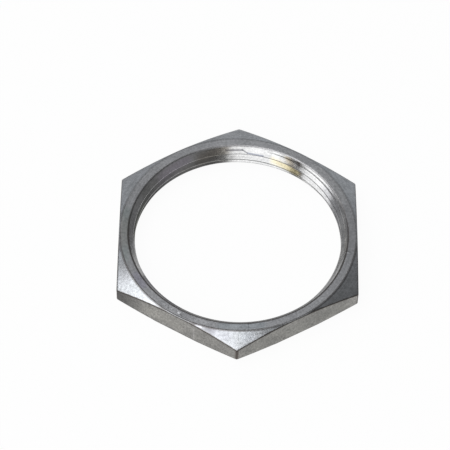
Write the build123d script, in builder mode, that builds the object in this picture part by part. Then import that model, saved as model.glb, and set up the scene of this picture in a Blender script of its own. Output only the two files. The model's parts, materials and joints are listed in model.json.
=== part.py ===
from build123d import *
import os
from math import ceil, cos, pi, radians, tan

# Hexagonal lock nut for a threaded cable connector, cut from hexagonal bar.
# Millimetres. The bottom face lies on Z = 0 and the thread axis is the Z axis.
# Two of the flats face along X, so two corners point along Y.

# Thread, right-hand: one V groove with a narrow flat root, wound so that a narrow
# crest is left between its turns. The major diameter is measured over the roots,
# and a root crosses the XZ plane on the +X side at the root height.
thread_major_diameter = 37.0
thread_pitch = 1.5875
thread_angle = 80.0
thread_crest_width = 0.253
thread_root_width = 0.16
thread_root_height = 0.75

# Bar: its flats lie one wall outside the deepest part of the thread
side_count = 6
wall_outside_thread = 2.0
corner_radius = 0.35
thickness = 4.6

# Countersinks at both mouths, which open a little wider than the thread
countersink_margin = 0.4
countersink_angle = 90.0

# Turned chamfers on the corners. Each is a cone that starts at a circle on its
# face and falls away outwards. The top circle lies just inside the flats, so the
# face is a full round ring, and the bottom one lies outside them, so that its
# cone only takes off the corners.
top_circle_inset = 0.1
top_chamfer_angle = 22.0
bottom_circle_outset = 0.35
bottom_chamfer_angle = 15.0

# The turning cut ends this far outside the corners of the bar, and the thread's
# groove this far inside the bore
turning_clearance = 1.0
groove_clearance = 0.05

# Form of the thread: its flanks open from the root until they leave the crest
flank_slope = tan(radians(thread_angle / 2))
thread_depth = (thread_pitch - thread_crest_width - thread_root_width) / 2 / flank_slope
root_radius = thread_major_diameter / 2
bore_radius = root_radius - thread_depth
groove_depth = thread_depth + groove_clearance
groove_half_width = thread_root_width / 2 + groove_depth * flank_slope

# The groove starts wholly below the nut and runs on until it is wholly above it
groove_start = thread_root_height - thread_pitch * ceil(
    (thread_root_height + groove_half_width) / thread_pitch
)
groove_turns = ceil((thickness + groove_half_width - groove_start) / thread_pitch)

countersink_radius = root_radius + countersink_margin
flat_radius = root_radius + wall_outside_thread
corner_reach = flat_radius / cos(pi / side_count)
top_circle_radius = flat_radius - top_circle_inset
bottom_circle_radius = flat_radius + bottom_circle_outset
turned_radius = corner_reach + turning_clearance
top_drop = (turned_radius - top_circle_radius) * tan(radians(top_chamfer_angle))
bottom_rise = (turned_radius - bottom_circle_radius) * tan(radians(bottom_chamfer_angle))

top_plane = Plane.XY.offset(thickness)
bottom_plane = Plane(origin=(0, 0, 0), z_dir=(0, 0, -1))
groove_plane = Plane.XZ.shift_origin((0, 0, groove_start))

with BuildPart() as connector_nut:
    # Slice of hexagonal bar, with the small radius that drawn bar has at its corners
    with BuildSketch(Plane.XY) as bar_section:
        RegularPolygon(
            radius=flat_radius,
            side_count=side_count,
            major_radius=False,
            rotation=180 / side_count,
        )
        fillet(bar_section.vertices(), radius=corner_radius)
    extrude(amount=thickness)

    # Both faces turned to their cones, which bows the edges of the six flats
    with BuildSketch(Plane.XZ) as turned_outline:
        with BuildLine():
            Polyline(
                (0, 0),
                (bottom_circle_radius, 0),
                (turned_radius, bottom_rise),
                (turned_radius, thickness - top_drop),
                (top_circle_radius, thickness),
                (0, thickness),
                close=True,
            )
        make_face()
    revolve(axis=Axis.Z, mode=Mode.INTERSECT)

    # Bore at the thread's crests, countersunk from both faces
    with Locations(top_plane, bottom_plane):
        CounterSinkHole(
            radius=bore_radius,
            counter_sink_radius=countersink_radius,
            counter_sink_angle=countersink_angle,
        )

    # Thread, one groove swept along a helix from below the nut to above it
    with BuildLine() as thread_path:
        Helix(
            pitch=thread_pitch,
            height=groove_turns * thread_pitch,
            radius=bore_radius,
            center=(0, 0, groove_start),
        )
    with BuildSketch(groove_plane) as groove_section:
        with BuildLine():
            Polyline(
                (root_radius, thread_root_width / 2),
                (root_radius - groove_depth, groove_half_width),
                (root_radius - groove_depth, -groove_half_width),
                (root_radius, -thread_root_width / 2),
                close=True,
            )
        make_face()
    sweep(is_frenet=True, mode=Mode.SUBTRACT)

connector_nut.part.label = "connector_nut"

os.makedirs("parts", exist_ok=True)
export_step(connector_nut.part, "parts/connector_nut.step")
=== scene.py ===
import json
from math import cos, pi, radians, sin, tan
import bpy
import numpy as np
from mathutils import Matrix, Vector


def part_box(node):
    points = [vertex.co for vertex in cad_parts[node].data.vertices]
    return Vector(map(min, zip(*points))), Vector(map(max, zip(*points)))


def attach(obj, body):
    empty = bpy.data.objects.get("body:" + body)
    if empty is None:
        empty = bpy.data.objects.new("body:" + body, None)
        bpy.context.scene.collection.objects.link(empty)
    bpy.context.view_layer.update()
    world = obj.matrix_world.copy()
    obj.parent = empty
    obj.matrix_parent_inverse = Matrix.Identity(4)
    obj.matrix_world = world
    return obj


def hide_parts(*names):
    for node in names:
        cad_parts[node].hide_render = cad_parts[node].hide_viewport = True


# Connector nut: a thin hexagonal lock nut of nickel-plated brass, with a fine thread
# between two countersinks. Its form is the solid's, with softly broken edges.

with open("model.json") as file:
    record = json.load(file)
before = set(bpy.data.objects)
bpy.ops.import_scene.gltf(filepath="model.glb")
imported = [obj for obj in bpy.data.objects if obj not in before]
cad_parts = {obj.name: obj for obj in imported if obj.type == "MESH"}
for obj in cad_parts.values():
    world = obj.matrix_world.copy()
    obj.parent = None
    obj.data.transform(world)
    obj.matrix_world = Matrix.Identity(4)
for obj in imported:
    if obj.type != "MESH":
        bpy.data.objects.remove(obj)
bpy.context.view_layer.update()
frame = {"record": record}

MM = 0.001
MICROMETRE = MM / 1000
PHOTO_PIXELS = 450

# Sizes in millimetres that the solid and its mounts give
nut_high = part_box("connector_nut")[1]
mounts = {mount["name"]: mount for mount in frame["record"]["mounts"]}
thread_hole = mounts["thread"]["dims"]
FLAT_RADIUS = nut_high.x / MM
THICKNESS = nut_high.z / MM
CREST_RADIUS = thread_hole["r_mm"]
SINK_DEPTH = (THICKNESS - thread_hole["length_mm"]) / 2
MOUTH_RADIUS = CREST_RADIUS + SINK_DEPTH

# Sizes in millimetres of the hexagonal bar's rounded corners and of the turned cones. Where
# the bottom cone lies outside the bar, its strip keeps the least step
SIDES = 6
CORNER_RADIUS = 0.35
TOP_CIRCLE = FLAT_RADIUS - 0.1
TOP_ANGLE = radians(22)
BOTTOM_CIRCLE = FLAT_RADIUS + 0.35
BOTTOM_ANGLE = radians(15)
LEAST_STEP = 0.03

# Thread: sixteen turns to the inch, right-hand, its crests and roots rounder the further the
# sharpness is below 1. A root crosses the +X side at the root height. Where the thread runs
# into a countersink, the two merge over the merge width
PITCH = 25.4 / 16
THREAD_DEPTH = 0.7
SHARPNESS = 0.85
ROOT_HEIGHT = 0.75
MERGE_WIDTH = 0.04

# Edges of the outside, from the lower mouth round to the upper one: the width that each is
# broken by, and its finish. An edge takes at most the edge share of the narrower face beside
# it, and its small curve has the edge points
EDGES = {
    "lower_mouth": (0.1, "turned_face"),
    "lower_circle": (0.07, "turned_face"),
    "lower_flat_edge": (0.1, "drawn_flat"),
    "upper_flat_edge": (0.12, "drawn_flat"),
    "upper_circle": (0.1, "corner_chamfer"),
    "upper_mouth": (0.2, "turned_face"),
}
EDGE_POINTS = 5
EDGE_SHARE = 0.45

# Faces between those edges: the points across each, and its finish
FACES = {
    "bottom_ring": (4, "turned_face"),
    "bottom_chamfer": (4, "corner_chamfer"),
    "side": (9, "drawn_flat"),
    "top_chamfer": (6, "corner_chamfer"),
    "top_ring": (6, "turned_face"),
}
BORE_ROWS = 96

# Where the top chamfer is a strip narrower than this, the painted edge shade keeps off it
STRIP_WIDTH = 0.35

# Columns of the mesh, in degrees from a corner to the middle of the flat beside it
HALF_SIDE = 180 / SIDES
CORNER_COLUMNS = np.linspace(0, 0.45, 7)
NEXT_COLUMNS = np.array([0.62, 0.9])
FLAT_COLUMNS = np.linspace(1.3, HALF_SIDE, 37)


def column_angles():
    """Angles of the mesh's columns, close together at the bar's rounded corners."""
    half = np.concatenate([CORNER_COLUMNS, NEXT_COLUMNS, FLAT_COLUMNS])
    around_corner = np.concatenate([-half[:0:-1], half[:-1]])
    corners = HALF_SIDE + 2 * HALF_SIDE * np.arange(SIDES)
    return np.radians((corners[:, None] + around_corner[None, :]).ravel())


def bar_reach(angle):
    """Distance from the axis to the bar's outside, and how far each angle is from a corner."""
    turn = pi / SIDES
    from_flat = (angle + turn) % (2 * turn) - turn
    from_corner = turn - np.abs(from_flat)
    flat = FLAT_RADIUS / np.cos(from_flat)
    centre = (FLAT_RADIUS - CORNER_RADIUS) / cos(turn)
    across = np.minimum(centre * np.sin(from_corner), CORNER_RADIUS)
    rounded = centre * np.cos(from_corner) + np.sqrt(CORNER_RADIUS**2 - across**2)
    rounding_ends = np.arctan2(CORNER_RADIUS * sin(turn), centre + CORNER_RADIUS * cos(turn))
    return np.where(from_corner < rounding_ends, rounded, flat), from_corner


def corner_points(reach):
    """Corners of the section from the lower countersink round the outside to the upper one."""
    flat = np.ones_like(reach)
    lower_edge = np.minimum(BOTTOM_CIRCLE, reach - LEAST_STEP)
    lower_rise = np.maximum((reach - BOTTOM_CIRCLE) * tan(BOTTOM_ANGLE), LEAST_STEP)
    upper_drop = (reach - TOP_CIRCLE) * tan(TOP_ANGLE)
    corners = [
        (flat * CREST_RADIUS, flat * SINK_DEPTH),
        (flat * MOUTH_RADIUS, flat * 0),
        (lower_edge, flat * 0),
        (reach, lower_rise),
        (reach, THICKNESS - upper_drop),
        (flat * TOP_CIRCLE, flat * THICKNESS),
        (flat * MOUTH_RADIUS, flat * THICKNESS),
        (flat * CREST_RADIUS, flat * (THICKNESS - SINK_DEPTH)),
    ]
    return np.stack([np.stack(corner, -1) for corner in corners], 1)


def outside_line(reach):
    """Section points of the outside, each edge broken by a small curve.

    Returns the points and how far each lies from the nearest edge. Where the top chamfer is
    only a narrow strip, its gaps are raised, so that the painted edge shade keeps off the strip."""
    corners = corner_points(reach)
    steps = np.diff(corners, axis=1)
    lengths = np.linalg.norm(steps, axis=2)
    along = steps / lengths[:, :, None]
    room = EDGE_SHARE * np.minimum(lengths[:, :-1], lengths[:, 1:])
    width = np.minimum([edge_break for edge_break, _ in EDGES.values()], room)
    middles = corners[:, 1:-1]
    starts = middles - along[:, :-1] * width[:, :, None]
    ends = middles + along[:, 1:] * width[:, :, None]
    strip_lift = np.maximum(STRIP_WIDTH - lengths[:, list(EDGES).index("upper_circle")], 0)
    points = []
    gaps = []
    for number, edge in enumerate(EDGES):
        start, middle, end = starts[:, number], middles[:, number], ends[:, number]
        for t in np.linspace(0, 1, EDGE_POINTS):
            points.append((1 - t) ** 2 * start + 2 * t * (1 - t) * middle + t**2 * end)
            on_strip = strip_lift if edge == "upper_circle" and t < 1 else 0
            gaps.append(abs(2 * t - 1) * width[:, number] + on_strip)
        if edge == "upper_mouth":
            break
        face = list(FACES)[number]
        across = starts[:, number + 1] - end
        clear = np.linalg.norm(across, axis=1)
        for t in np.linspace(0, 1, FACES[face][0] + 2)[1:-1]:
            points.append(end + t * across)
            from_last = width[:, number] + t * clear
            from_next = width[:, number + 1] + (1 - t) * clear
            on_strip = strip_lift if face == "top_chamfer" else 0
            gaps.append(np.minimum(from_last, from_next) + on_strip)
    return np.stack(points, 1), np.stack(gaps, 1)


def soft_larger(a, b):
    """The larger of two radii, rounded over where they are nearly the same."""
    return (a + b + np.sqrt((a - b) ** 2 + MERGE_WIDTH**2)) / 2


def bore_line(angle, high, low):
    """Section points of the bore from one height down to another, through the thread and the
    countersinks, and how far each lies from the nearest mouth."""
    rows = np.linspace(0, 1, BORE_ROWS + 2)[1:-1]
    height = high[:, None] + rows[None, :] * (low - high)[:, None]
    turn = (height - ROOT_HEIGHT) / PITCH - angle[:, None] / (2 * pi)
    wave = np.arcsin(SHARPNESS * np.cos(2 * pi * turn)) / np.arcsin(SHARPNESS)
    thread = CREST_RADIUS + THREAD_DEPTH / 2 * (1 + wave)
    upper_cone = MOUTH_RADIUS - (THICKNESS - height)
    lower_cone = MOUTH_RADIUS - height
    radius = soft_larger(soft_larger(upper_cone, lower_cone), thread)
    from_mouth = np.sqrt(2) * np.minimum(height, THICKNESS - height)
    return np.stack([radius, height], -1), from_mouth


def row_finishes():
    """Finish of each row of faces, from the lower mouth round the outside and down the bore."""
    edge_rows = [[finish] * (EDGE_POINTS - 1) for _, finish in EDGES.values()]
    face_rows = [[finish] * (count + 1) for count, finish in FACES.values()]
    names = edge_rows[0]
    for face, edge in zip(face_rows, edge_rows[1:]):
        names = names + face + edge
    names = names + ["cut_thread"] * (BORE_ROWS + 1)
    return np.array([list(FINISHES).index(name) for name in names])


def grid_mesh(name, places):
    """Closed mesh of quads on a grid: columns round the axis, rows round the section."""
    columns, rows = places.shape[:2]
    number = np.arange(columns * rows).reshape(columns, rows)
    next_column = np.roll(number, -1, axis=0)
    next_row = np.roll(number, -1, axis=1)
    next_both = np.roll(next_column, -1, axis=1)
    quads = np.stack([number, next_column, next_both, next_row], -1).reshape(-1, 4)
    mesh = bpy.data.meshes.new(name)
    mesh.vertices.add(columns * rows)
    mesh.vertices.foreach_set("co", places.ravel())
    mesh.loops.add(quads.size)
    mesh.loops.foreach_set("vertex_index", quads.ravel())
    mesh.polygons.add(len(quads))
    mesh.polygons.foreach_set("loop_start", np.arange(len(quads)) * 4)
    mesh.update(calc_edges=True)
    mesh.polygons.foreach_set("use_smooth", np.ones(len(quads), bool))
    return mesh


def keep_measure(mesh, name, values):
    """Keeps one number for each point of the mesh, for the materials to read."""
    measure = mesh.attributes.new(name, "FLOAT", "POINT")
    measure.data.foreach_set("value", values.ravel())


def build_nut():
    """The whole nut as one closed grid, with what its edge lines are drawn by."""
    angle = column_angles()
    reach, from_corner = bar_reach(angle)
    outside, outside_gap = outside_line(reach)
    bore, bore_gap = bore_line(angle, outside[:, -1, 1], outside[:, 0, 1])
    section = np.concatenate([outside, bore], axis=1)
    radius, height = section[:, :, 0], section[:, :, 1]
    x = radius * np.cos(angle)[:, None]
    y = radius * np.sin(angle)[:, None]
    mesh = grid_mesh("connector_nut_cut", np.stack([x, y, height], -1) * MM)
    mesh.polygons.foreach_set("material_index", np.tile(row_finishes(), len(angle)))
    keep_measure(mesh, "edge_gap", np.concatenate([outside_gap, bore_gap], axis=1))
    keep_measure(mesh, "corner_gap", np.repeat(from_corner * reach, section.shape[1]))

    nut = bpy.data.objects.new("connector_nut_cut", mesh)
    bpy.context.collection.objects.link(nut)
    flat_shading = nut.modifiers.new("flat_shading", "WEIGHTED_NORMAL")
    flat_shading.mode = "FACE_AREA"
    flat_shading.keep_sharp = False
    return nut


# Shader helpers


def add_node(tree, kind, **settings):
    """A node of a shader tree, with its settings."""
    node = tree.nodes.new(kind)
    for key, value in settings.items():
        setattr(node, key, value)
    return node


def feed(tree, socket, value):
    """Gives a socket a constant, or links another socket into it."""
    if isinstance(value, bpy.types.NodeSocket):
        tree.links.new(value, socket)
    else:
        socket.default_value = value


def maths(tree, operation, *values, clamp=False):
    """One step of arithmetic, on sockets or constants."""
    node = add_node(tree, "ShaderNodeMath", operation=operation, use_clamp=clamp)
    for socket, value in zip(node.inputs, values):
        feed(tree, socket, value)
    return node.outputs[0]


def vector_maths(tree, operation, first, second):
    """One step of arithmetic on vectors. A dot product or a distance gives a number."""
    node = add_node(tree, "ShaderNodeVectorMath", operation=operation)
    feed(tree, node.inputs[0], first)
    feed(tree, node.inputs["Scale"] if operation == "SCALE" else node.inputs[1], second)
    return node.outputs["Value" if operation in ("DOT_PRODUCT", "DISTANCE") else "Vector"]


def split(tree, vector):
    """The three numbers of a vector."""
    node = add_node(tree, "ShaderNodeSeparateXYZ")
    feed(tree, node.inputs[0], vector)
    return node.outputs


def joined(tree, x, y, z):
    """A vector of three numbers."""
    node = add_node(tree, "ShaderNodeCombineXYZ")
    for socket, value in zip(node.inputs, (x, y, z)):
        feed(tree, socket, value)
    return node.outputs[0]


def ramped(tree, value, low, high, out_low=0.0, out_high=1.0):
    """The value eased from one range into another, held at both ends."""
    node = add_node(tree, "ShaderNodeMapRange", interpolation_type="SMOOTHSTEP")
    feed(tree, node.inputs["Value"], value)
    feed(tree, node.inputs["From Min"], low)
    feed(tree, node.inputs["From Max"], high)
    feed(tree, node.inputs["To Min"], out_low)
    feed(tree, node.inputs["To Max"], out_high)
    return node.outputs["Result"]


def swung(tree, value, swing):
    """A factor round 1 that follows a value round a half."""
    return maths(tree, "MULTIPLY_ADD", maths(tree, "SUBTRACT", value, 0.5), swing, 1.0)


def blended(tree, amount, first, second, blend="MIX"):
    """Two colours mixed by an amount."""
    node = add_node(tree, "ShaderNodeMix", data_type="RGBA", blend_type=blend)
    feed(tree, node.inputs["Factor"], amount)
    feed(tree, node.inputs["A"], first)
    feed(tree, node.inputs["B"], second)
    return node.outputs["Result"]


def noise(tree, place, scale, detail=3.0, roughness=0.5, distortion=0.0, w=None):
    """Noise between 0 and 1 at a place."""
    node = add_node(tree, "ShaderNodeTexNoise", noise_dimensions="3D" if w is None else "4D")
    feed(tree, node.inputs["Vector"], place)
    feed(tree, node.inputs["Scale"], scale)
    feed(tree, node.inputs["Detail"], detail)
    feed(tree, node.inputs["Roughness"], roughness)
    feed(tree, node.inputs["Distortion"], distortion)
    if w is not None:
        feed(tree, node.inputs["W"], w)
    return node.outputs["Fac"]


def object_millimetres(tree):
    """Place on the nut in millimetres."""
    place = add_node(tree, "ShaderNodeTexCoord").outputs["Object"]
    return vector_maths(tree, "SCALE", place, 1 / MM)


def new_group(name, inputs, outputs):
    """An empty node group with its named inputs and outputs.

    An input is a number or a vector, as its default is, and every output is a number."""
    group = bpy.data.node_groups.new(name, "ShaderNodeTree")
    for label, value in inputs.items():
        kind = "NodeSocketVector" if isinstance(value, tuple) else "NodeSocketFloat"
        socket = group.interface.new_socket(name=label, in_out="INPUT", socket_type=kind)
        socket.default_value = value
    for label in outputs:
        group.interface.new_socket(name=label, in_out="OUTPUT", socket_type="NodeSocketFloat")
    entry = add_node(group, "NodeGroupInput")
    result = add_node(group, "NodeGroupOutput")
    return group, entry.outputs, result.inputs


def place_group(tree, group, **values):
    """A group set into a material, with its own values. Underscores stand for spaces."""
    node = add_node(tree, "ShaderNodeGroup", node_tree=group)
    for label, value in values.items():
        feed(tree, node.inputs[label.replace("_", " ")], value)
    return node.outputs


def empty_tree(data):
    """The node tree of a new material or world, with nothing in it."""
    data.use_nodes = True
    data.node_tree.nodes.clear()
    return data.node_tree


# Effects that the finishes share

# Grain of the plate: scale of its soft clouds and of its small specks
CLOUDS_PER_MM = 0.35
SPECKS_PER_MM = 2.1

# Edge lines, painted shade along the edges: how often they waver, the share of their width
# that is wholly dark, how much wider they are down the upright corners, and the places in
# millimetres along Y between which they fade towards the back
WAVERS_PER_MM = 1.3
LINE_CORE = 0.35
CORNER_SPREAD = 1.6
FADE_FROM = -4.0
FADE_TO = 12.0

# Share of a placed mark's width that it covers wholly
MARK_CORE = 0.1


def lathe_marks_group():
    """Fine rings that a turning tool leaves about the axis, and how far a place lies towards
    the left or right of the nut."""
    group, given, result = new_group(
        "Lathe marks", {"Rings per mm": 6.0, "Breaks per turn": 4.0}, ["Marks", "Sideways"]
    )
    x, y, z = split(group, object_millimetres(group))
    squared = maths(group, "ADD", maths(group, "MULTIPLY", x, x), maths(group, "MULTIPLY", y, y))
    radius = maths(group, "SQRT", squared)
    turn_x = maths(group, "DIVIDE", x, radius)
    turn_y = maths(group, "DIVIDE", y, radius)
    around = joined(
        group,
        maths(group, "MULTIPLY", radius, given["Rings per mm"]),
        maths(group, "MULTIPLY", turn_x, given["Breaks per turn"]),
        maths(group, "MULTIPLY", turn_y, given["Breaks per turn"]),
    )
    height = maths(group, "MULTIPLY", z, given["Rings per mm"])
    feed(group, result["Marks"], noise(group, around, 1.0, w=height))
    feed(group, result["Sideways"], maths(group, "MULTIPLY", turn_x, turn_x))
    return group


def plating_grain_group():
    """The plate's fine grain, its soft clouds and its small specks."""
    group, given, result = new_group(
        "Plating grain", {"Grains per mm": 3.0, "Stretch": 1.0}, ["Grain", "Clouds", "Specks"]
    )
    place = object_millimetres(group)
    stretched = vector_maths(group, "MULTIPLY", place, joined(group, 1.0, 1.0, given["Stretch"]))
    grain = noise(group, stretched, given["Grains per mm"], roughness=0.6)
    clouds = noise(group, place, CLOUDS_PER_MM, roughness=0.55, distortion=0.4)
    specks = noise(group, place, SPECKS_PER_MM, detail=2.0, roughness=0.7, distortion=0.3)
    feed(group, result["Grain"], grain)
    feed(group, result["Clouds"], clouds)
    feed(group, result["Specks"], specks)
    return group


def edge_shade_group():
    """Dark line painted along an edge, as painted shade where the rounded edge reflects dark, and
    down an upright corner. It is uneven in width and fainter at the back."""
    group, given, result = new_group(
        "Edge line",
        {"Width mm": 0.12, "Unevenness": 0.5, "Share at back": 0.4},
        ["Line", "Corner"],
    )
    place = object_millimetres(group)
    uneven = noise(group, place, WAVERS_PER_MM, roughness=0.6)
    reach = maths(group, "MULTIPLY", given["Width mm"], swung(group, uneven, given["Unevenness"]))
    kept = ramped(group, split(group, place)[1], FADE_FROM, FADE_TO, 1.0, given["Share at back"])
    for label, measure, spread in (
        ("Line", "edge_gap", 1.0),
        ("Corner", "corner_gap", CORNER_SPREAD),
    ):
        distance = add_node(group, "ShaderNodeAttribute", attribute_name=measure).outputs["Fac"]
        share = maths(group, "DIVIDE", distance, maths(group, "MULTIPLY", reach, spread))
        line = ramped(group, share, LINE_CORE, 1.0, 1.0, 0.0)
        feed(group, result[label], maths(group, "MULTIPLY", line, kept))
    return group


def placed_mark_group():
    """One scratch, nick, stain or patch of painted light or shade between two points: how much of
    it covers a place.
    """
    group, given, result = new_group(
        "Placed mark", {"From mm": (0, 0, 0), "To mm": (1, 0, 0), "Width mm": 0.2}, ["Mark"]
    )
    from_start = vector_maths(group, "SUBTRACT", object_millimetres(group), given["From mm"])
    run = vector_maths(group, "SUBTRACT", given["To mm"], given["From mm"])
    along = vector_maths(group, "DOT_PRODUCT", from_start, run)
    whole = vector_maths(group, "DOT_PRODUCT", run, run)
    share = maths(group, "DIVIDE", along, whole, clamp=True)
    gap = vector_maths(group, "DISTANCE", from_start, vector_maths(group, "SCALE", run, share))
    reach = maths(group, "DIVIDE", gap, given["Width mm"])
    feed(group, result["Mark"], ramped(group, reach, MARK_CORE, 1.0, 1.0, 0.0))
    return group


LATHE_MARKS = lathe_marks_group()
PLATING_GRAIN = plating_grain_group()
EDGE_SHADE = edge_shade_group()
PLACED_MARK = placed_mark_group()

# Scratches, nicks and stains, and patches of painted light and shade, each with its two ends
# and width in millimetres, and the tint that the plate's colour is multiplied by
RING_MARKS = [
    # Two scratches side by side at the right, and a fine one at the near side
    ((17.8, -3.87, 4.6), (18.9, -4.1, 4.6), 0.16, (1.7, 1.7, 1.7)),
    ((17.9, -3.55, 4.6), (19.3, -3.9, 4.6), 0.12, (0.6, 0.6, 0.6)),
    ((1.88, -18.85, 4.6), (1.89, -20.4, 4.6), 0.14, (0.7, 0.7, 0.7)),
    # Nicks at the lower left, two dark and two bright
    ((-9.7, -17.0, 4.6), (-9.27, -17.75, 4.6), 0.16, (0.55, 0.55, 0.55)),
    ((-11.59, -15.5, 4.6), (-11.55, -16.94, 4.6), 0.14, (0.7, 0.7, 0.7)),
    ((-11.1, -16.2, 4.6), (-11.0, -16.25, 4.6), 0.2, (1.6, 1.6, 1.6)),
    ((-9.85, -17.0, 4.6), (-9.7, -17.05, 4.6), 0.3, (2.4, 2.4, 2.4)),
    # Greenish stain at the left and a violet one at the lower left
    ((-19.4, 4.0, 4.6), (-19.4, -6.0, 4.6), 1.6, (0.9, 0.96, 0.93)),
    ((-17.2, -9.5, 4.6), (-16.0, -11.5, 4.6), 1.2, (0.97, 0.95, 1.04)),
    # Lighter stretch at the upper right
    ((17.9, 8.0, 4.6), (13.5, 14.0, 4.6), 3.0, (1.18, 1.18, 1.17)),
    # Cool stain at the near side and a warm one at the left
    ((-2.5, -19.5, 4.6), (4.0, -19.2, 4.6), 1.4, (0.94, 0.99, 1.01)),
    ((-19.6, 1.0, 4.6), (-19.6, -2.0, 4.6), 2.5, (1.02, 0.97, 0.95)),
]
SIDE_MARKS_AND_SHADE = [
    # Light upright scratch on the left side, and the left side darkens towards its far end
    ((-7.27, -19.47, 4.2), (-7.26, -19.48, 0.4), 0.16, (1.35, 1.35, 1.38)),
    ((-20.6, -11.6, 0.0), (-20.6, -11.6, 4.6), 6.8, (0.42, 0.42, 0.43)),
    # Small dark nicks at the lower edge of the left and right sides
    ((-15.36, -14.81, 0.5), (-15.2, -14.9, 0.4), 0.3, (0.4, 0.4, 0.4)),
    ((7.88, -19.12, 0.66), (8.0, -19.05, 0.6), 0.3, (0.45, 0.45, 0.45)),
    # Dark lower edge of the left side beside the near corner, painted shade where it meets the
    # floor
    ((-5.0, -20.8, 0.1), (-0.6, -23.4, 0.1), 0.5, (0.5, 0.48, 0.46)),
    # Lighter far end of the right side and middle of the left side
    ((20.3, -11.9, 1.0), (19.6, -12.3, 3.0), 2.2, (1.14, 1.14, 1.14)),
    ((-14.5, -15.3, 2.0), (-10.0, -17.9, 2.5), 2.6, (1.12, 1.12, 1.1)),
    # The right side is darker as a whole, painted shade of the side turned from the lights
    ((3.0, -21.9, 2.0), (17.0, -13.9, 2.0), 5.0, (0.84, 0.85, 0.84)),
    # Upright edge of the near corner, dark at its top and reddish below
    ((0.0, -23.6, 3.35), (0.0, -23.6, 3.2), 0.5, (0.35, 0.32, 0.31)),
    ((0.0, -23.6, 0.2), (0.0, -23.6, 3.1), 0.5, (0.8, 0.68, 0.63)),
]
CHAMFER_MARKS_LIGHT_AND_SHADE = [
    # Bright nick in a dark strip of painted shade, where the chamfer is narrow above the right
    # side
    ((13.2, -16.0, 4.5), (13.4, -15.95, 4.5), 0.25, (2.2, 2.2, 2.2)),
    ((12.6, -16.4, 4.5), (14.2, -15.4, 4.5), 0.4, (0.5, 0.5, 0.5)),
    # Lighter right-hand end of the near chamfer, painted light
    ((3.6, -20.9, 4.3), (8.5, -18.9, 4.5), 1.8, (1.3, 1.3, 1.3)),
    # Darker strip above the left side, painted shade
    ((-12.6, -16.3, 4.5), (-7.3, -19.35, 4.5), 1.0, (0.58, 0.58, 0.58)),
    # Painted shade and light on the near chamfer: it darkens towards its left tip and is lightest
    # right of its middle. It also has a bright fleck on the tip
    ((-6.4, -19.5, 4.5), (-4.6, -20.2, 4.5), 1.7, (0.6, 0.59, 0.6)),
    ((-4.2, -20.3, 4.4), (-2.0, -21.2, 4.2), 1.7, (0.8, 0.79, 0.81)),
    ((1.2, -21.4, 4.2), (2.2, -21.3, 4.2), 1.3, (1.15, 1.16, 1.18)),
    ((-6.9, -19.4, 4.5), (-6.1, -19.7, 4.5), 0.3, (1.9, 1.9, 1.9)),
    # Darker upper part of the lower left chamfer, painted shade
    ((-19.4, -7.2, 4.4), (-18.9, -9.6, 4.3), 1.6, (0.84, 0.83, 0.83)),
    # The far chamfer and the upper left one are a little darker, painted shade
    ((-20.2, 11.7, 4.2), (0.0, 23.2, 4.2), 5.0, (0.92, 0.91, 0.91)),
]
BORE_MARKS_LIGHT_AND_SHADE = [
    # Painted yellow reflection low on the far wall, and a dark gap of painted shade at its right
    # end
    ((6.2, 17.0, 2.9), (10.2, 15.0, 2.2), 1.3, (1.16, 1.03, 0.66)),
    ((10.6, 15.5, 4.4), (11.2, 14.4, 1.2), 0.75, (0.36, 0.34, 0.33)),
    # Brown stain at the left end of the bright far wall
    ((-2.9, 18.1, 4.2), (-6.6, 17.0, 3.2), 2.0, (0.88, 0.83, 0.76)),
    # Darker countersink at the lower left, painted shade
    ((-15.6, -9.8, 4.2), (-10.2, -15.4, 4.2), 1.3, (0.6, 0.6, 0.62)),
    # Brownish stain above the yellow reflection
    ((8.6, 16.6, 4.2), (9.6, 15.6, 3.2), 1.0, (0.85, 0.76, 0.62)),
    # Lighter countersink at the left, painted light, and a violet tinge at the far left
    ((-17.3, 6.5, 4.0), (-18.4, -3.0, 4.0), 2.0, (1.28, 1.28, 1.31)),
    ((-9.5, 15.6, 4.0), (-13.5, 12.3, 3.4), 2.0, (1.08, 1.02, 1.12)),
    # The far left wall darkens towards its lower edge, painted shade deep in the bore
    ((-3.2, 17.9, 1.4), (-9.6, 15.4, 1.4), 2.6, (0.7, 0.69, 0.67)),
    ((-11.4, 14.2, 1.4), (-15.9, 8.8, 1.4), 2.6, (0.7, 0.7, 0.7)),
    ((-16.9, 6.8, 1.4), (-18.2, 0.6, 1.4), 2.6, (0.7, 0.72, 0.66)),
    # S-shaped dark line on the far wall, painted shade in a thread groove
    ((-2.3, 18.2, 4.04), (0.6, 18.33, 4.03), 0.26, (0.36, 0.36, 0.38)),
    ((0.6, 18.33, 4.03), (1.5, 17.95, 3.65), 0.2, (0.4, 0.4, 0.42)),
    ((1.5, 17.95, 3.65), (4.3, 17.4, 3.6), 0.22, (0.45, 0.47, 0.55)),
    # The far wall darkens towards its right end, painted shade
    ((16.9, 5.8, 3.4), (15.4, 8.9, 3.4), 3.2, (0.74, 0.74, 0.76)),
]
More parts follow.
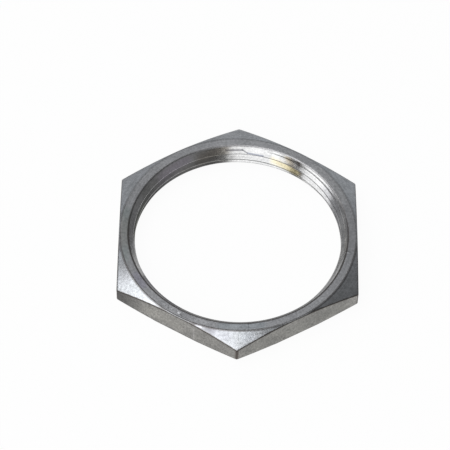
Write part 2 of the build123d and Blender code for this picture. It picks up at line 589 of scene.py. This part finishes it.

# Finishes, in the order of the mesh's material slots: the light and dark colour of the
# plate's clouds, its roughness, the rings and grains per millimetre with their depths in
# micrometres, the edge lines of painted shade with their width in millimetres, how far shade
# and roughness swing with the grain, and the marks. Where they are given, side_shade is how
# much darker a finish is painted at the left and right of the nut, as painted shade,
# corner_strength is that of the dark line down the upright corners, and edge_tint is the grey
# that it reflects at a grazing angle. The colours hold painted light and shade too: the drawn
# flats are darker as painted shade that stands in for a darker reflection, and the chamfers
# bluer as a painted reflection of a cool light
FINISHES = {
    "turned_face": dict(
        light=(0.44, 0.442, 0.455),
        dark=(0.38, 0.383, 0.395),
        roughness=0.36,
        rings=5.0,
        ring_depth=3.5,
        grains=2.4,
        grain_depth=7.0,
        line_width=0.26,
        line_strength=0.85,
        shade_swing=1.1,
        roughness_swing=0.12,
        # Painted shade: the turned faces are darker at the left and right of the nut
        side_shade=0.27,
        marks=RING_MARKS,
    ),
    "corner_chamfer": dict(
        # Bluer than the other finishes: painted reflection of a cool light
        light=(0.465, 0.48, 0.505),
        dark=(0.4, 0.415, 0.43),
        roughness=0.28,
        rings=5.0,
        ring_depth=3.0,
        grains=2.4,
        grain_depth=11.0,
        line_width=0.28,
        line_strength=0.65,
        shade_swing=0.9,
        roughness_swing=0.14,
        marks=CHAMFER_MARKS_LIGHT_AND_SHADE,
    ),
    "drawn_flat": dict(
        # Darker than the other finishes: painted shade that stands in for a darker reflection on
        # the flats
        light=(0.3, 0.293, 0.278),
        dark=(0.235, 0.23, 0.22),
        roughness=0.38,
        rings=4.0,
        ring_depth=0.5,
        grains=3.4,
        grain_depth=7.0,
        grain_stretch=0.9,
        line_width=0.22,
        line_strength=0.8,
        corner_strength=0.85,
        shade_swing=1.8,
        roughness_swing=0.1,
        marks=SIDE_MARKS_AND_SHADE,
    ),
    "cut_thread": dict(
        light=(0.49, 0.49, 0.49),
        dark=(0.4, 0.4, 0.4),
        roughness=0.19,
        rings=8.0,
        ring_depth=0.7,
        grains=2.4,
        grain_depth=1.8,
        line_width=0.24,
        line_strength=0.6,
        shade_swing=0.8,
        roughness_swing=0.08,
        marks=BORE_MARKS_LIGHT_AND_SHADE,
        edge_tint=0.3,
    ),
}

# What the finishes have in common: the colour and unevenness of the edge lines of painted
# shade, how often the rings break in a turn and how far they swing the shade, and the noise
# values between which the dark colour of the clouds passes into the light one
EDGE_SHADE_COLOUR = (0.075, 0.065, 0.06)
LINE_UNEVENNESS = 0.9
RING_BREAKS = 5.0
STREAK_SWING = 0.5
CLOUD_EDGES = (0.3, 0.7)


def plate_colour(tree, lathe, grain, lines, values):
    """Colour of the plate: its clouds, the marks with their patches of painted light and shade,
    grain and turning streaks, painted shade at the sides, and dark edges of painted shade.
    """
    clouds = ramped(tree, grain["Clouds"], *CLOUD_EDGES)
    plate = blended(tree, clouds, (*values["dark"], 1), (*values["light"], 1))
    for start, end, width, tint in values["marks"]:
        mark = place_group(tree, PLACED_MARK, From_mm=start, To_mm=end, Width_mm=width)["Mark"]
        plate = blended(tree, mark, plate, (*tint, 1), blend="MULTIPLY")
    fine = swung(tree, grain["Grain"], values["shade_swing"])
    # Painted shade, darker at the left and right of the nut
    sides = maths(tree, "MULTIPLY_ADD", lathe["Sideways"], -values.get("side_shade", 0.0), 1.0)
    fine = maths(tree, "MULTIPLY", fine, sides)
    fine = maths(tree, "MULTIPLY", fine, swung(tree, lathe["Marks"], STREAK_SWING))
    plate = vector_maths(tree, "SCALE", plate, fine)
    # Painted shade along the edges, and the dark line down the upright corners
    line = maths(tree, "MULTIPLY", lines["Line"], values["line_strength"])
    if "corner_strength" in values:
        corner = maths(tree, "MULTIPLY", lines["Corner"], values["corner_strength"])
        line = maths(tree, "MAXIMUM", line, corner)
    return blended(tree, line, plate, (*EDGE_SHADE_COLOUR, 1))


def metal_finish(name, values):
    """One finish of the plated nut, with its values from the table."""
    material = bpy.data.materials.new(name)
    tree = empty_tree(material)
    output = add_node(tree, "ShaderNodeOutputMaterial")
    metal = add_node(tree, "ShaderNodeBsdfPrincipled")
    tree.links.new(metal.outputs[0], output.inputs["Surface"])
    metal.inputs["Metallic"].default_value = 1.0
    edge_tint = values.get("edge_tint", 1.0)
    metal.inputs["Specular Tint"].default_value = (edge_tint, edge_tint, edge_tint, 1)

    lathe = place_group(
        tree, LATHE_MARKS, Rings_per_mm=values["rings"], Breaks_per_turn=RING_BREAKS
    )
    grain = place_group(
        tree,
        PLATING_GRAIN,
        Grains_per_mm=values["grains"],
        Stretch=values.get("grain_stretch", 1.0),
    )
    lines = place_group(
        tree, EDGE_SHADE, Width_mm=values["line_width"], Unevenness=LINE_UNEVENNESS
    )
    feed(tree, metal.inputs["Base Color"], plate_colour(tree, lathe, grain, lines, values))

    swing = maths(tree, "SUBTRACT", maths(tree, "ADD", lathe["Marks"], grain["Specks"]), 1.0)
    roughness = maths(
        tree, "MULTIPLY_ADD", swing, values["roughness_swing"], values["roughness"], clamp=True
    )
    feed(tree, metal.inputs["Roughness"], roughness)

    rings = maths(tree, "MULTIPLY", lathe["Marks"], values["ring_depth"])
    grains = maths(tree, "MULTIPLY", grain["Grain"], values["grain_depth"])
    bump = add_node(tree, "ShaderNodeBump")
    bump.inputs["Strength"].default_value = 1.0
    bump.inputs["Distance"].default_value = MICROMETRE
    feed(tree, bump.inputs["Height"], maths(tree, "ADD", rings, grains))
    tree.links.new(bump.outputs[0], metal.inputs["Normal"])
    return material


# Stage

# Floor in metres, just under the nut, and the share of its own glow that a camera or a
# reflection sees
FLOOR_REACH = 3.0
FLOOR_DROP = 0.02 * MM
PAPER_COLOUR = (0.86, 0.86, 0.86, 1)
GLOW_SHARE = 0.95

# Room: its plain grey, the dark, the dark where it is lifted a little, and the curtain
# between the front light and the left one, with the directions along which the dark at the
# front right and the curtain are measured
ROOM_GREY = (0.5, 0.51, 0.52, 1)
DARK_GREY = (0.175, 0.175, 0.175, 1)
LIFTED_GREY = (0.34, 0.34, 0.345, 1)
CURTAIN_BROWN = (0.09, 0.08, 0.07, 1)
FRONT_RIGHT = (0.75, -0.35, 0.56)
ACROSS_CURTAIN = (0.629, -0.777, 0)

# Soft edges of those parts. Each lies between two places on a sphere of radius 1, measured
# along one of the two directions above, or along the axis that its name ends with
DARK_FRONT_RIGHT = (0.4, 0.72)
DARK_SIDES_X = (0.5, 0.85)
DARK_LOW_Z = (0.1, 0.5)
LIFTED_FRONT_Y = (-0.5, 0.1)
LIFTED_RIGHT_X = (0.42, 0.6)
LIFTED_LEFT_X = (-0.4, -0.2)
CURTAIN_ACROSS = (0.09, 0.15)
CURTAIN_LEFT_X = (-0.3, -0.2)
CURTAIN_TOP_Z = (0.68, 0.8)

# Soft boxes: direction from the nut, width and height in metres, and how bright each looks
SOFT_BOX_DISTANCE = 1.0
SOFT_BOXES = {
    "overhead_light": ((-0.33, -0.05, 0.94), 0.86, 0.76, 2.4),
    "front_light": ((-0.253, -0.746, 0.616), 0.87, 0.5, 1.65),
    "left_light": ((-0.87, -0.165, 0.46), 0.54, 0.42, 1.75),
}


def make_floor():
    """Pale floor. It shows nearly white to the camera and in reflections, and keeps a soft
    shadow."""
    mesh = bpy.data.meshes.new("floor")
    corners = [(-1, -1, 0), (1, -1, 0), (1, 1, 0), (-1, 1, 0)]
    places = [(FLOOR_REACH * x, FLOOR_REACH * y, z) for x, y, z in corners]
    mesh.from_pydata(places, [], [(0, 1, 2, 3)])
    floor = bpy.data.objects.new("floor", mesh)
    bpy.context.collection.objects.link(floor)
    floor.location.z = -FLOOR_DROP
    material = bpy.data.materials.new("floor_paper")
    tree = empty_tree(material)
    output = add_node(tree, "ShaderNodeOutputMaterial")
    paper = add_node(tree, "ShaderNodeBsdfDiffuse")
    paper.inputs["Color"].default_value = PAPER_COLOUR
    glow = add_node(tree, "ShaderNodeEmission")
    glow.inputs["Color"].default_value = (1, 1, 1, 1)
    glow.inputs["Strength"].default_value = 1.0
    rays = add_node(tree, "ShaderNodeLightPath").outputs
    seen = maths(tree, "MAXIMUM", rays["Is Camera Ray"], rays["Is Glossy Ray"])
    seen = maths(tree, "MAXIMUM", seen, rays["Is Transmission Ray"])
    both = add_node(tree, "ShaderNodeMixShader")
    feed(tree, both.inputs[0], maths(tree, "MULTIPLY", seen, GLOW_SHARE))
    tree.links.new(paper.outputs[0], both.inputs[1])
    tree.links.new(glow.outputs[0], both.inputs[2])
    tree.links.new(both.outputs[0], output.inputs["Surface"])
    mesh.materials.append(material)


def make_room():
    """Plain grey room, with the light and dark that the metal reflects.

    It is dark at the front right and low down on both sides. The dark is lifted a little on
    the left and towards the front of the right. A darker curtain hangs between the front
    light and the left one."""
    world = bpy.data.worlds.new("studio_room")
    tree = empty_tree(world)
    output = add_node(tree, "ShaderNodeOutputWorld")
    sky = add_node(tree, "ShaderNodeBackground")
    towards = add_node(tree, "ShaderNodeTexCoord").outputs["Generated"]
    x, y, z = split(tree, towards)

    front_right = vector_maths(tree, "DOT_PRODUCT", towards, FRONT_RIGHT)
    front_right = ramped(tree, front_right, *DARK_FRONT_RIGHT)
    to_the_sides = ramped(tree, maths(tree, "ABSOLUTE", x), *DARK_SIDES_X)
    low_down = ramped(tree, z, *DARK_LOW_Z, 1.0, 0.0)
    low_sides = maths(tree, "MULTIPLY", to_the_sides, low_down)
    dark = maths(tree, "MAXIMUM", front_right, low_sides)

    in_front = ramped(tree, y, *LIFTED_FRONT_Y, 1.0, 0.0)
    in_front = maths(tree, "MULTIPLY", in_front, ramped(tree, x, *LIFTED_RIGHT_X))
    on_left = ramped(tree, x, *LIFTED_LEFT_X, 1.0, 0.0)
    lifted = maths(tree, "MAXIMUM", in_front, on_left)
    shade = blended(tree, lifted, DARK_GREY, LIFTED_GREY)
    room = blended(tree, dark, ROOM_GREY, shade)

    across = vector_maths(tree, "DOT_PRODUCT", towards, ACROSS_CURTAIN)
    curtain = ramped(tree, maths(tree, "ABSOLUTE", across), *CURTAIN_ACROSS, 1.0, 0.0)
    curtain = maths(tree, "MULTIPLY", curtain, ramped(tree, x, *CURTAIN_LEFT_X, 1.0, 0.0))
    curtain = maths(tree, "MULTIPLY", curtain, ramped(tree, z, *CURTAIN_TOP_Z, 1.0, 0.0))
    feed(tree, sky.inputs["Color"], blended(tree, curtain, room, CURTAIN_BROWN))
    sky.inputs["Strength"].default_value = 1.0
    tree.links.new(sky.outputs[0], output.inputs["Surface"])
    bpy.context.scene.world = world


def make_lights():
    """Overhead light to the left, a broad one in front and a low narrow one at the left. Each
    is a soft box that faces the nut."""
    for name, (towards, width, height, brightness) in SOFT_BOXES.items():
        light = bpy.data.lights.new(name, "AREA")
        light.shape = "RECTANGLE"
        light.size = width
        light.size_y = height
        light.energy = brightness * pi * width * height
        lamp = bpy.data.objects.new(name, light)
        place = Vector(towards).normalized() * SOFT_BOX_DISTANCE
        lamp.location = place
        lamp.rotation_euler = place.to_track_quat("Z", "Y").to_euler()
        bpy.context.collection.objects.link(lamp)


# Camera: where it stands in metres and radians, its lens, and the pixel of the photo that the
# nut's origin falls on
CAMERA_DISTANCE = 389.6 * MM
CAMERA_ELEVATION = radians(54.258)
CAMERA_ROLL = radians(1.85)
CAMERA_TURN = radians(-1.0198)
FOCAL_PIXELS = 2245.5
SENSOR_WIDTH = 36.0
ORIGIN_PIXEL = (237.75, 247.37)
NEAREST_SEEN = 0.01
FURTHEST_SEEN = 20


def make_camera():
    """Camera at the photo's viewpoint. It looks at the nut's origin and is then panned, so that
    the origin falls on its pixel."""
    data = bpy.data.cameras.new("photo_camera")
    data.sensor_fit = "HORIZONTAL"
    data.sensor_width = SENSOR_WIDTH
    data.lens = FOCAL_PIXELS * SENSOR_WIDTH / PHOTO_PIXELS
    data.clip_start = NEAREST_SEEN
    data.clip_end = FURTHEST_SEEN
    camera = bpy.data.objects.new("photo_camera", data)
    turn = Matrix.Rotation(CAMERA_TURN, 3, "Z")
    place = Vector((0, -cos(CAMERA_ELEVATION), sin(CAMERA_ELEVATION))) * CAMERA_DISTANCE
    tilt = Matrix.Rotation(pi / 2 - CAMERA_ELEVATION, 3, "X")
    roll = Matrix.Rotation(CAMERA_ROLL, 3, "Z")
    across = (ORIGIN_PIXEL[0] - PHOTO_PIXELS / 2) / FOCAL_PIXELS
    down = (ORIGIN_PIXEL[1] - PHOTO_PIXELS / 2) / FOCAL_PIXELS
    pan = Vector((across, -down, -1)).rotation_difference(Vector((0, 0, -1))).to_matrix()
    rotation = (turn @ tilt @ roll @ pan).to_4x4()
    camera.matrix_world = Matrix.Translation(turn @ place) @ rotation
    bpy.context.collection.objects.link(camera)
    bpy.context.scene.camera = camera


nut = build_nut()
for name, values in FINISHES.items():
    nut.data.materials.append(metal_finish(name, values))
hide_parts("connector_nut")
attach(nut, "root")
make_floor()
make_room()
make_lights()
make_camera()
bpy.context.scene.view_settings.view_transform = "Standard"

bpy.context.view_layer.update()
